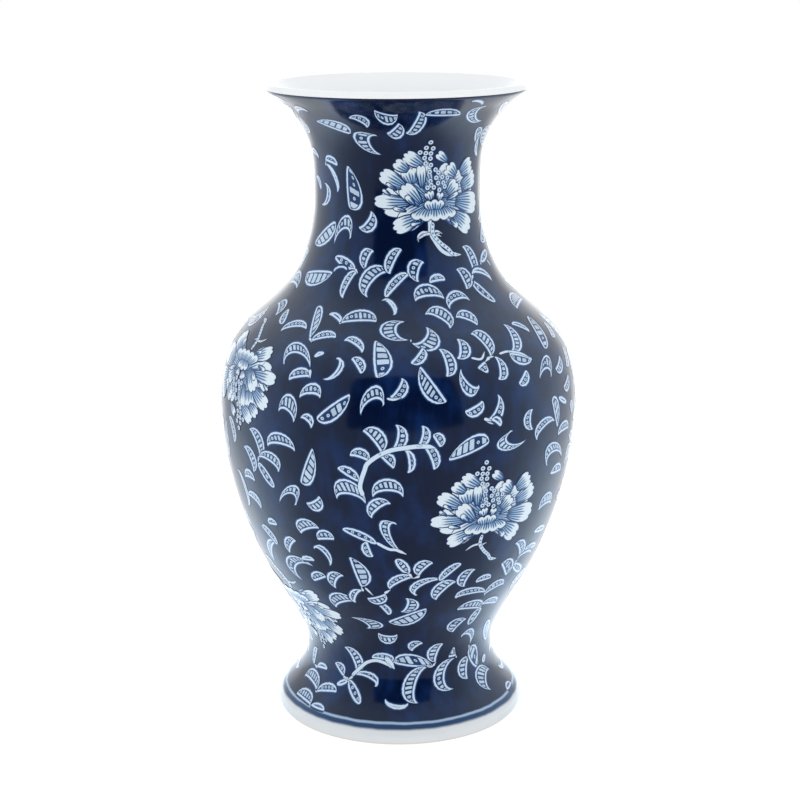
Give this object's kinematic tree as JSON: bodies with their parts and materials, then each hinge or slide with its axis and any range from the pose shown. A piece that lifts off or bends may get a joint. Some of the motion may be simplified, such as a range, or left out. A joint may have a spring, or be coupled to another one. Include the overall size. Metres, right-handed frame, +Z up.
{
  "type": "vase",
  "caption": "Tall baluster vase in glazed porcelain, with a splayed foot ring, a tapering body, a round shoulder and a flared trumpet neck with a rolled lip.",
  "frame": {"origin": "middle of the foot ring's standing face, where the vase's axis meets the surface it stands on", "axes": "+Z up along the vase's axis to the lip, -Y towards the side with the large central leaf spray, +X to the right of that side"},
  "size_m": [0.1988, 0.1988, 0.356],
  "materials": {
    "porcelain": "matte, unglazed biscuit",
    "slip": "matte",
    "cobalt_glaze": "gloss cobalt blue with reserved white painting",
    "clear_glaze": "gloss, clear over white"
  },
  "bodies": {
    "root": {"foot_section": "porcelain", "lower_body": "porcelain", "upper_body": "porcelain", "neck_section": "porcelain", "floor_disc": "porcelain", "foot_slip": "slip", "belly_slip": "slip", "neck_slip": "slip", "floor_slip": "slip", "cobalt_glaze": "cobalt_glaze", "foot_band_glaze": "clear_glaze", "inner_glaze": "clear_glaze", "base_glaze": "clear_glaze"}
  },
  "joints": []
}
